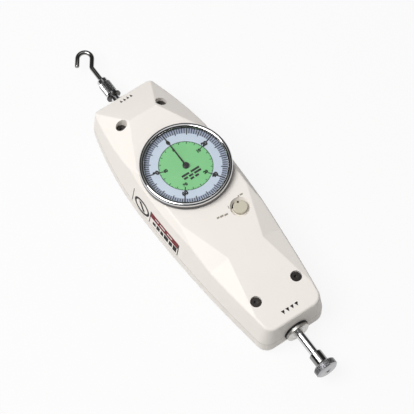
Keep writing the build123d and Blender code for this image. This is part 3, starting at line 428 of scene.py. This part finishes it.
SLOT_MATERIALS = {
    "ivory_paint": CASE_PAINT,
    "black_steel": BLACK_STEEL,
    "bright_chrome": CHROME,
    "dark_chrome": DARK_CHROME,
    "steel": STEEL,
    "spring_steel": SPRING_STEEL,
    "brass": BRASS,
    "alloy": ALLOY,
    "clear_lens": GLASS,
    "dial_print": DIAL_PRINT,
    "black_plastic": BLACK_PLASTIC,
    "black_rubber": RUBBER,
    "felt": FELT,
}
for part in frame["record"]["subparts"]:
    slots = nodes[part["node"]].data.materials
    slots.clear()
    slots.append(SLOT_MATERIALS[part["material_slot"]])
nodes["selector_knob"].data.materials[0] = KNOB_PAINT
nodes["pointer"].data.materials[0] = POINTER_PAINT
nodes["pointer_arbor"].data.materials[0] = BLACK_STEEL


# ------------------------------------------------------------------------------------ bmesh helpers
def mm_box(node):
    """A node's box in millimetres."""
    low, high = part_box(node)
    return low / MM, high / MM


def add_object(name, data):
    """A new object in the scene, at the origin."""
    made = bpy.data.objects.new(name, data)
    bpy.context.scene.collection.objects.link(made)
    return made


def add_form(bm, other):
    """Adds another bmesh to a bmesh and frees the other."""
    mesh = bpy.data.meshes.new("added_form")
    other.to_mesh(mesh)
    other.free()
    bm.from_mesh(mesh)
    bpy.data.meshes.remove(mesh)


def add_face(bm, outline):
    """Adds a flat face inside an outline of (x, y) points in millimetres."""
    bm.faces.new([bm.verts.new((x * MM, y * MM, 0)) for x, y in outline])


def extrude_ring(bm, ring):
    """Extrudes a ring of edges, and gives the new ring and its corners."""
    grown = bmesh.ops.extrude_edge_only(bm, edges=ring)["geom"]
    corners = [g for g in grown if isinstance(g, bmesh.types.BMVert)]
    edges = [g for g in grown if isinstance(g, bmesh.types.BMEdge)]
    return [e for e in edges if all(v in corners for v in e.verts)], corners


def turned(profile, steps):
    """A bmesh turned around the Z axis from (radius, height) points in millimetres. A profile that
    touches the axis at neither end is joined back to its first point."""
    bm = bmesh.new()
    points = [bm.verts.new((r * MM, 0, h * MM)) for r, h in profile]
    for a, b in zip(points, points[1:]):
        bm.edges.new((a, b))
    if profile[0][0] > 0 and profile[-1][0] > 0:
        bm.edges.new((points[-1], points[0]))
    bmesh.ops.spin(
        bm,
        geom=list(bm.verts) + list(bm.edges),
        cent=(0, 0, 0),
        axis=(0, 0, 1),
        angle=FULL_TURN,
        steps=steps,
        use_merge=True,
    )
    bmesh.ops.remove_doubles(bm, verts=bm.verts, dist=0.0005 * MM)
    return bm


def knurled(radius, length, columns, rows, depth):
    """An upright tube wall of raised diamonds, in millimetres, from height 0."""
    bm = bmesh.new()
    bmesh.ops.create_circle(bm, cap_ends=False, radius=(radius - depth) * MM, segments=columns)
    half_column = Matrix.Rotation(math.pi / columns, 3, "Z")
    ring = list(bm.edges)
    for _ in range(rows):
        ring, corners = extrude_ring(bm, ring)
        bmesh.ops.translate(bm, vec=(0, 0, length / rows * MM), verts=corners)
        bmesh.ops.rotate(bm, cent=(0, 0, 0), matrix=half_column, verts=corners)
    for peak in bmesh.ops.poke(bm, faces=list(bm.faces))["verts"]:
        reach = Vector((peak.co.x, peak.co.y, 0))
        peak.co += reach.normalized() * (radius * MM - reach.length)
    return bm


def lay_along_rod(bm):
    """Lays an upright bmesh along the rod: its height becomes +Y."""
    to_rod = Matrix.Translation((0, 0, ROD_Z)) @ Matrix.Rotation(-math.pi / 2, 4, "X")
    bmesh.ops.transform(bm, matrix=to_rod, verts=bm.verts)


def finish_piece(name, bm, material, body, replaced=(), smooth_angle=32.0):
    """Makes an object of a bmesh, shades it smooth up to an angle in degrees, and puts it on its
    body. A piece with None as its body is put on no body."""
    bmesh.ops.remove_doubles(bm, verts=bm.verts, dist=0.001 * MM)
    bmesh.ops.recalc_face_normals(bm, faces=bm.faces)
    mesh = bpy.data.meshes.new(name)
    bm.to_mesh(mesh)
    bm.free()
    for face in mesh.polygons:
        face.use_smooth = True
    mesh.set_sharp_from_angle(angle=math.radians(smooth_angle))
    piece = add_object(name, mesh)
    mesh.materials.append(material)
    if body is not None:
        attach(piece, body)
    if replaced:
        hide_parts(*replaced)
    return piece


# ----------------------------------------------------------------------------------- bezel and knob
def make_bezel():
    """Upright skirt, rounded crown and a slope down to the glass."""
    low, high = mm_box("bezel_ring")
    outer_r, top, base = high.x, high.z, low.z
    glass_top = mm_box("crystal")[1].z
    lip_r, bore_r, crown_r, edge = 27.6, 29.85, 1.7, 0.25
    lip_slope_width, lip_slope_height = 0.15, 0.3
    centre_r, centre_z = outer_r - crown_r, top - crown_r
    crown = []
    for degrees in range(-2, 143, 12):
        angle = math.radians(degrees)
        crown.append((centre_r + crown_r * math.cos(angle), centre_z + crown_r * math.sin(angle)))
    profile = [
        (bore_r, base),
        (outer_r - edge, base),
        (outer_r, base + edge),
        *crown,
        (lip_r + lip_slope_width, glass_top + lip_slope_height),
        (lip_r, glass_top),
        (bore_r, glass_top),
    ]
    bm = turned(profile, steps=144)
    finish_piece("bezel", bm, BEZEL_CHROME, "bezel", ["bezel_ring"], 40)


def make_knob_dot():
    """Small dark dot on the knob's top, near its rim."""
    dot_r, off_x, off_y = 0.75 * MM, 0.5 * MM, 3.6 * MM
    bm = bmesh.new()
    bmesh.ops.create_circle(bm, cap_ends=True, radius=dot_r, segments=24)
    place = Matrix.Translation((KNOB_X + off_x, KNOB_Y + off_y, KNOB_HIGH.z + INK_LIFT))
    bmesh.ops.transform(bm, matrix=place, verts=bm.verts)
    finish_piece("knob_dot", bm, INK, "knob")


# --------------------------------------------------------------------------------- rod and push end
def make_rod():
    """The plain measuring rod, right through the case."""
    low, high = mm_box("measuring_rod")
    radius = high.x
    bm = turned([(0, low.y), (radius, low.y), (radius, high.y), (0, high.y)], steps=48)
    lay_along_rod(bm)
    finish_piece("rod", bm, CHROME, "rod", ["measuring_rod"])


def make_bush(node, outwards):
    """Bush with its flange, whose face has a shallow ring groove and a chamfered mouth. It points
    out of the case to +Y for 1 and to -Y for -1."""
    low, high = mm_box(node)
    flange_r, bore_r, neck_r, inner_r = high.x, 3.05, 6.0, 7.4
    inner_width, neck_length, flange_height = 2.0, 3.7, 2.3
    edge, groove_depth = 0.5, 0.25
    groove_mouth, groove_floor = (6.1, 5.3), (5.9, 5.5)
    flange_z = inner_width + neck_length
    face_z = flange_z + flange_height
    profile = [
        (bore_r, 0),
        (inner_r, 0),
        (inner_r, inner_width),
        (neck_r, inner_width),
        (neck_r, flange_z),
        (flange_r, flange_z),
        (flange_r, face_z - edge),
        (flange_r - edge, face_z),
        (groove_mouth[0], face_z),
        (groove_floor[0], face_z - groove_depth),
        (groove_floor[1], face_z - groove_depth),
        (groove_mouth[1], face_z),
        (bore_r + edge, face_z),
        (bore_r, face_z - edge),
    ]
    bm = turned(profile, steps=72)
    start = low.y
    if outwards < 0:
        bmesh.ops.scale(bm, vec=(1, 1, -1), verts=bm.verts)
        start = high.y
    bmesh.ops.translate(bm, vec=(0, 0, start * MM), verts=bm.verts)
    lay_along_rod(bm)
    finish_piece(f"{node}_turned", bm, ALLOY, "housing", [node])


def make_push_disc():
    """Knurled disc with a chamfer at both edges and a dished centre in its pushing face."""
    low, high = mm_box("push_disc")
    radius, length = high.x, high.y - low.y
    chamfer, knurl_depth = 0.8, 0.4
    dish_floor_r, dish_r, dish_depth = 2.0, 2.6, 0.5
    slope_width, slope_height = 0.4, 0.12
    rim = radius - knurl_depth
    face = rim - chamfer
    bm = knurled(radius, length - 2 * chamfer, columns=44, rows=6, depth=knurl_depth)
    bmesh.ops.translate(bm, vec=(0, 0, chamfer * MM), verts=bm.verts)
    pushing_face = [
        (0, dish_depth),
        (dish_floor_r, dish_depth),
        (dish_r, 0),
        (face - slope_width, 0),
        (face, slope_height),
        (rim, chamfer),
    ]
    back_face = [(rim, length - chamfer), (face, length), (0, length)]
    add_form(bm, turned(pushing_face, steps=64))
    add_form(bm, turned(back_face, steps=64))
    bmesh.ops.translate(bm, vec=(0, 0, low.y * MM), verts=bm.verts)
    lay_along_rod(bm)
    finish_piece("knurled_disc", bm, DISC_METAL, "rod", ["push_disc"], 25)


def make_push_sleeve():
    """Sleeve with a narrower neck where it meets the disc."""
    disc_y = mm_box("push_disc")[1].y
    high = mm_box("push_sleeve")[1]
    radius, edge = high.x, 0.5
    neck_r = radius - 0.6
    neck_y, shoulder_y = disc_y + 0.7, disc_y + 1.0
    profile = [
        (0, disc_y),
        (neck_r, disc_y),
        (neck_r, neck_y),
        (radius, shoulder_y),
        (radius, high.y - edge),
        (radius - edge, high.y),
        (0, high.y),
    ]
    bm = turned(profile, steps=48)
    lay_along_rod(bm)
    finish_piece("sleeve", bm, DARK_CHROME, "rod", ["push_sleeve"])


# ----------------------------------------------------------------------------- pull end and springs
def make_hook_coupling():
    """Knurled barrel between a plain collar and a narrower nose for the hook."""
    low, high = mm_box("hook_coupling")
    radius, knurl_depth = high.x, 0.25
    collar_edge, collar_end_y = 0.3, low.y + 1.5
    knurl_low, knurl_high = low.y + 1.8, 97.2
    nose_r, nose_shoulder_r, nose_end_r = 3.7, 3.2, 2.3
    nose_slope_y, nose_shoulder_y = high.y - 1.4, high.y - 0.5
    root = radius - knurl_depth
    bm = knurled(radius, knurl_high - knurl_low, columns=36, rows=9, depth=knurl_depth)
    bmesh.ops.translate(bm, vec=(0, 0, knurl_low * MM), verts=bm.verts)
    collar = [
        (0, low.y),
        (root, low.y),
        (radius, low.y + collar_edge),
        (radius, collar_end_y),
        (root, knurl_low),
    ]
    nose = [
        (root, knurl_high),
        (nose_r, knurl_high + collar_edge),
        (nose_r, nose_slope_y),
        (nose_shoulder_r, nose_shoulder_y),
        (nose_end_r, high.y),
        (0, high.y),
    ]
    add_form(bm, turned(collar, steps=48))
    add_form(bm, turned(nose, steps=48))
    lay_along_rod(bm)
    finish_piece("knurled_coupling", bm, CHROME, "rod", ["hook_coupling"], 25)


def make_hook():
    """The hook's wire: a circle drawn straight, round the bend, along the arm, round the bow and
    down to a blunt tip."""
    low, high = mm_box("hook")
    wire_r, bow_r, bend_r, tip_length = 1.6, 5.0, 3.0, 6.9
    # the tip's last lengths, and how wide the wire is after each
    taper = ((0.4, 0.93), (0.28, 0.75), (0.12, 0.4))
    taper_length = sum(length for length, width in taper)
    tilt = math.radians(36)
    bow_y = high.y - bow_r - wire_r
    bend_y = bow_y - bow_r / math.sin(tilt)
    reach = bend_r * math.tan(tilt / 2)
    arm_length = bow_r / math.tan(tilt) - reach
    arm = Vector((math.sin(tilt), math.cos(tilt), 0))
    bend_centre = Vector((bend_r, bend_y - reach, 0))
    bow_centre = Vector((0, bow_y, 0))
    bm = bmesh.new()
    bmesh.ops.create_circle(bm, cap_ends=False, radius=wire_r * MM, segments=24)
    to_y = Matrix.Rotation(math.pi / 2, 3, "X")
    bmesh.ops.rotate(bm, cent=(0, 0, 0), matrix=to_y, verts=bm.verts)
    bmesh.ops.translate(bm, vec=(0, low.y * MM, 0), verts=bm.verts)

    def draw(ring, vector):
        """Draws the wire straight on, and gives its new end and the end's corners."""
        ring, corners = extrude_ring(bm, ring)
        bmesh.ops.translate(bm, vec=vector * MM, verts=corners)
        return ring, corners

    def bend(ring, centre, angle, steps):
        """Draws the wire round a centre, and gives its new end."""
        spun = bmesh.ops.spin(
            bm, geom=ring, cent=centre * MM, axis=(0, 0, 1), angle=angle, steps=steps
        )
        return [g for g in spun["geom_last"] if isinstance(g, bmesh.types.BMEdge)]

    ring, _ = draw(list(bm.edges), Vector((0, bend_y - reach - low.y, 0)))
    ring = bend(ring, bend_centre, -tilt, steps=8)
    ring, _ = draw(ring, arm * arm_length)
    ring = bend(ring, bow_centre, math.pi, steps=32)
    ring, _ = draw(ring, -arm * (tip_length - taper_length))
    for length, width in taper:
        ring, corners = draw(ring, -arm * length)
        middle = sum((v.co for v in corners), Vector()) / len(corners)
        for vert in corners:
            vert.co = middle + (vert.co - middle).normalized() * wire_r * width * MM
    bmesh.ops.holes_fill(bm, edges=ring, sides=0)
    bmesh.ops.translate(bm, vec=(0, 0, ROD_Z), verts=bm.verts)
    finish_piece("bent_hook", bm, DARK_CHROME, "rod", ["hook"], 50)


def make_spring(node):
    """Round wire wound around the rod, from the fixed stop to the rod's collar, which pushes it."""
    low, high = mm_box(node)
    wire_r, coil_r, turns, steps_per_turn = 0.65, 5.2, 7, 24
    steps = turns * steps_per_turn
    start, end = low.y + wire_r, high.y - wire_r
    bm = bmesh.new()
    bmesh.ops.create_circle(bm, cap_ends=False, radius=wire_r * MM, segments=10)
    to_x = Matrix.Rotation(math.pi / 2, 3, "Y")
    bmesh.ops.rotate(bm, cent=(0, 0, 0), matrix=to_x, verts=bm.verts)
    bmesh.ops.translate(bm, vec=(0, start * MM, ROD_Z + coil_r * MM), verts=bm.verts)
    bmesh.ops.spin(
        bm,
        geom=list(bm.verts) + list(bm.edges),
        cent=(0, 0, ROD_Z),
        axis=(0, 1, 0),
        dvec=(0, (end - start) / steps * MM, 0),
        angle=FULL_TURN * turns,
        steps=steps,
    )
    bmesh.ops.holes_fill(bm, edges=[e for e in bm.edges if e.is_boundary], sides=0)
    spring = finish_piece(f"{node}_coil", bm, SPRING_STEEL, None, [node])
    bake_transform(spring)


# -------------------------------------------------------------------------------- marks on the case
def case_surface():
    """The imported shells, to cast rays at."""
    verts, faces = [], []
    for node in ("front_case", "rear_case"):
        mesh = nodes[node].data
        first = len(verts)
        verts += [v.co.copy() for v in mesh.vertices]
        faces += [[first + i for i in f.vertices] for f in mesh.polygons]
    return BVHTree.FromPolygons(verts, faces)


CASE_SURFACE = case_surface()

# For marks on the case's top and side: the direction in which they drop onto it, and the matrix
# that lays their outlines clear of it. Outlines are (x, y) points seen along -Z for the top, and
# (y, z) points seen along +X for the side.
PRINT_SIDES = {
    "top": (Vector((0, 0, -1)), Matrix.Translation((0, 0, 60 * MM))),
    "side": (
        Vector((1, 0, 0)),
        Matrix(((0, 0, 1, -60 * MM), (1, 0, 0, 0), (0, 1, 0, 0), (0, 0, 0, 1))),
    ),
}


def bar(x_low, x_high, y_low, y_high, slant=0.0):
    """Outline of a plain bar, its top moved sideways by the slant."""
    return [(x_low, y_low), (x_high, y_low), (x_high + slant, y_high), (x_low + slant, y_high)]


def arrow_row(middle, width, count, y, towards):
    """Outlines of solid arrows in a row, pointing to +Y or -Y."""
    tail_length, tip_length, half_share = 1.3, 1.5, 0.36
    pitch = width / count
    half = pitch * half_share
    tail, tip = y - tail_length * towards, y + tip_length * towards
    places = [middle + pitch * (i - (count - 1) / 2) for i in range(count)]
    return [[(x - half, tail), (x + half, tail), (x, tip)] for x in places]


def add_oval_ring(bm, centre, half_sizes, width):
    """Adds a flat oval ring, in millimetres."""
    half_x, half_y = half_sizes
    made = bmesh.ops.create_circle(bm, cap_ends=False, radius=1.0, segments=40)
    outside = made["verts"]
    bmesh.ops.scale(bm, vec=(half_x * MM, half_y * MM, 1), verts=outside)
    rim = [e for e in bm.edges if all(v in outside for v in e.verts)]
    inside = extrude_ring(bm, rim)[1]
    narrower = ((half_x - width) / half_x, (half_y - width) / half_y, 1)
    bmesh.ops.scale(bm, vec=narrower, verts=inside)
    to_centre = (centre[0] * MM, centre[1] * MM, 0)
    bmesh.ops.translate(bm, vec=to_centre, verts=outside + inside)


def cut_into_strips(bm, face, strips=8):
    """Cuts a flat face across its width, so that it can follow a curved surface."""
    low = min(v.co.x for v in face.verts)
    high = max(v.co.x for v in face.verts)
    geometry = [*face.verts, *face.edges, face]
    for i in range(1, strips):
        place = (low + (high - low) * i / strips, 0, 0)
        cut = bmesh.ops.bisect_plane(bm, geom=geometry, plane_co=place, plane_no=(1, 0, 0))
        geometry = cut["geom"]


def lay_on_case(bm, direction):
    """Drops every corner of a bmesh along a direction, to the ink's thickness above the case."""
    run_up = 200 * MM
    for vert in bm.verts:
        hit = CASE_SURFACE.ray_cast(vert.co - direction * run_up, direction)[0]
        if hit is not None:
            vert.co = hit - direction * INK_LIFT


def print_on_case(name, side, material, outlines, oval_ring=None):
    """Flat shapes printed on the top or the side of the case."""
    direction, start = PRINT_SIDES[side]
    bm = bmesh.new()
    if oval_ring is not None:
        add_oval_ring(bm, **oval_ring)
    for outline in outlines:
        add_face(bm, outline)
    for face in list(bm.faces):
        cut_into_strips(bm, face)
    bmesh.ops.transform(bm, matrix=start, verts=bm.verts)
    lay_on_case(bm, direction)
    finish_piece(name, bm, material, "housing", smooth_angle=180)


def make_case_marks():
    """Plain printed marks: arrows at both ends, marks around the selector, and the side label."""
    pull_arrows = arrow_row(middle=0.4, width=10.6, count=4, y=71.2, towards=1)
    print_on_case("pull_arrows", "top", INK, pull_arrows)
    push_arrows = arrow_row(middle=0.0, width=14.0, count=4, y=-117.6, towards=-1)
    print_on_case("push_arrows", "top", INK, push_arrows)
    selector_marks = [
        bar(12.4, 12.8, -36.6, -31.6),
        bar(16.0, 17.2, -37.0, -35.9),
        bar(17.8, 20.0, -37.0, -35.9),
        bar(6.2, 6.7, -40.2, -38.2, 0.4),
        bar(-4.2, -2.4, -42.2, -41.0),
        bar(-1.9, 0.6, -42.6, -41.4),
        bar(1.1, 3.8, -43.2, -42.0),
    ]
    print_on_case("selector_marks", "top", GREY_INK, selector_marks)
    ring = {"centre": (2.7, 20.4), "half_sizes": (8.3, 6.3), "width": 1.9}
    stroke = [(-1.1, 17.7), (1.1, 16.7), (6.5, 23.1), (4.3, 24.1)]
    print_on_case("label_ring", "side", INK, [stroke], oval_ring=ring)
    print_on_case("label_band", "side", RED_INK, [bar(-36.9, -6.6, 21.4, 27.1)])
    lines = [
        bar(12.9, 13.6, 14.8, 28.6),
        bar(-7.1, -6.4, 14.6, 27.2),
        bar(-37.8, -37.0, 14.4, 27.0),
    ]
    print_on_case("label_lines", "side", INK, lines)
    dashes = [
        bar(-13.4, -10.2, 16.4, 19.4),
        bar(-17.8, -14.4, 16.2, 20.2),
        bar(-21.8, -18.8, 16.0, 20.0),
        bar(-27.0, -22.6, 15.8, 20.6),
        bar(-31.4, -28.0, 15.6, 20.2),
        bar(-36.0, -32.2, 15.4, 20.8),
    ]
    print_on_case("label_dashes", "side", INK, dashes)
    band_dashes = [
        bar(-15.5, -12.0, 23.8, 25.0),
        bar(-22.6, -17.0, 23.8, 25.0),
        bar(-30.4, -25.0, 23.8, 25.0),
    ]
    print_on_case("label_band_dashes", "side", LABEL_WHITE, band_dashes)


# -------------------------------------------------------------------------------- print on the dial
def make_figures(name, values, radius, height, weight, material):
    """Numbers around the dial, upright, from 0 at the pointer's rest and clockwise."""
    bm = bmesh.new()
    for i, value in enumerate(values):
        angle = math.radians(90 - 360 * i / len(values))
        curve = bpy.data.curves.new(f"{name}_{value}", "FONT")
        curve.body = str(value)
        curve.size = height
        curve.align_x = "CENTER"
        curve.align_y = "CENTER"
        curve.offset = weight
        text = add_object(f"{name}_{value}", curve)
        bpy.context.view_layer.update()
        mesh = bpy.data.meshes.new_from_object(text)
        bpy.data.objects.remove(text)
        place = (radius * math.cos(angle), radius * math.sin(angle), DIAL_Z + INK_LIFT)
        mesh.transform(Matrix.Translation(place))
        bm.from_mesh(mesh)
        bpy.data.meshes.remove(mesh)
    finish_piece(name, bm, material, "bezel")


def make_dial_dashes():
    """Rows of plain dashes printed below the hub."""
    half_height = 0.75
    rows = (
        (-5.4, ((-6.9, -1.2), (0.2, 6.9))),
        (-7.6, ((-6.6, -3.6), (-2.6, 0.6), (1.6, 6.9))),
        (-9.8, ((-3.0, -0.2), (0.8, 3.6))),
    )
    bm = bmesh.new()
    for y, dashes in rows:
        for x_low, x_high in dashes:
            add_face(bm, bar(x_low, x_high, y - half_height, y + half_height))
    bmesh.ops.translate(bm, vec=(0, 0, DIAL_Z + INK_LIFT), verts=bm.verts)
    finish_piece("dial_dashes", bm, INK, "bezel")


make_bezel()
make_rod()
make_bush("pull_bush", outwards=1)
make_bush("push_bush", outwards=-1)
make_push_disc()
make_push_sleeve()
make_hook_coupling()
make_hook()
make_spring("pull_spring")
make_spring("push_spring")
make_case_marks()
make_knob_dot()
make_figures(
    "outer_figures",
    values=(0, 20, 40, 60, 80),
    radius=20.3 * MM,
    height=3.9 * MM,
    weight=0.38 * MM,
    material=INK,
)
make_figures(
    "inner_figures",
    values=(0, 10, 20, 30, 40),
    radius=13.9 * MM,
    height=2.9 * MM,
    weight=0.26 * MM,
    material=GREEN_INK,
)
make_dial_dashes()


# -------------------------------------------------------------------------- floor, light and camera
# Strength of the light from all around. The sky that is seen directly and in reflections is dim
# up to one height on the unit sphere and turns white by the other.
WORLD_LIGHT = 0.25
WALL_LEVEL = 0.05
WALL_HEIGHT = 0.85
CEILING_HEIGHT = 0.98


def make_floor():
    """Wide pale floor that is seen nearly white, and lights the object as grey paint would."""
    half_size, glow = 12.0, 0.9
    mesh = bpy.data.meshes.new("floor")
    bm = bmesh.new()
    bmesh.ops.create_grid(bm, x_segments=1, y_segments=1, size=half_size)
    bm.to_mesh(mesh)
    bm.free()
    floor = add_object("floor", mesh)
    material = bpy.data.materials.new("pale_floor")
    material.use_nodes = True
    tree = material.node_tree
    make = NodeMaker(tree)
    shader = tree.nodes["Principled BSDF"]
    shader.inputs["Base Color"].default_value = FLOOR_GREY
    shader.inputs["Roughness"].default_value = 0.9
    white = make.node("ShaderNodeEmission", {"Color": WHITE, "Strength": 1.0})
    make.mix_surface(make.math("MULTIPLY", make.looked_at(), glow), shader, white)
    mesh.materials.append(material)


def make_world():
    """Even light, under a sky that gives chrome its dark bands."""
    world = bpy.data.worlds.new("soft_studio")
    bpy.context.scene.world = world
    world.use_nodes = True
    tree = world.node_tree
    make = NodeMaker(tree)
    background = tree.nodes["Background"]
    background.inputs["Color"].default_value = WHITE
    height = make.height(tree.nodes.new("ShaderNodeTexCoord").outputs["Generated"])
    sky = make.map_range(
        height, WALL_HEIGHT, CEILING_HEIGHT, WALL_LEVEL, 1.0, interpolation_type="SMOOTHSTEP"
    )
    change = make.math("MULTIPLY", make.looked_at(), make.math("SUBTRACT", sky, WORLD_LIGHT))
    make.set(background.inputs["Strength"], make.math("ADD", change, WORLD_LIGHT))


def add_lamp(name, place, size, power):
    """Square lamp that faces the origin."""
    light = bpy.data.lights.new(name, "AREA")
    light.shape = "RECTANGLE"
    light.size, light.size_y = size
    light.energy = power
    lamp = add_object(name, light)
    lamp.location = place
    lamp.rotation_euler = (-Vector(place)).to_track_quat("-Z", "Y").to_euler()


def add_camera():
    """The main view, from a pinhole camera's focal length and centre in pixels."""
    azimuth, elevation, distance = math.radians(-34.9), math.radians(63.2), 1.665
    target = Vector((0, 0, 0.020))
    focal_px, image_px, sensor = 2497.5, 414, 36.0
    centre_x, centre_y = 185.8, 183.95
    back = Vector(
        (
            math.sin(azimuth) * math.cos(elevation),
            -math.cos(azimuth) * math.cos(elevation),
            math.sin(elevation),
        )
    )
    data = bpy.data.cameras.new("camera")
    data.sensor_width = sensor
    data.lens = focal_px / image_px * sensor
    data.shift_x = (image_px / 2 - centre_x) / image_px
    data.shift_y = -(image_px / 2 - centre_y) / image_px
    camera = add_object("camera", data)
    camera.location = target + back * distance
    camera.rotation_euler = back.to_track_quat("Z", "Y").to_euler()
    bpy.context.scene.camera = camera


make_floor()
make_world()
add_lamp("key", place=(-0.55, 0.1, 1.08), size=(0.75, 0.75), power=14.2)
add_camera()
bpy.context.scene.view_settings.view_transform = "Standard"
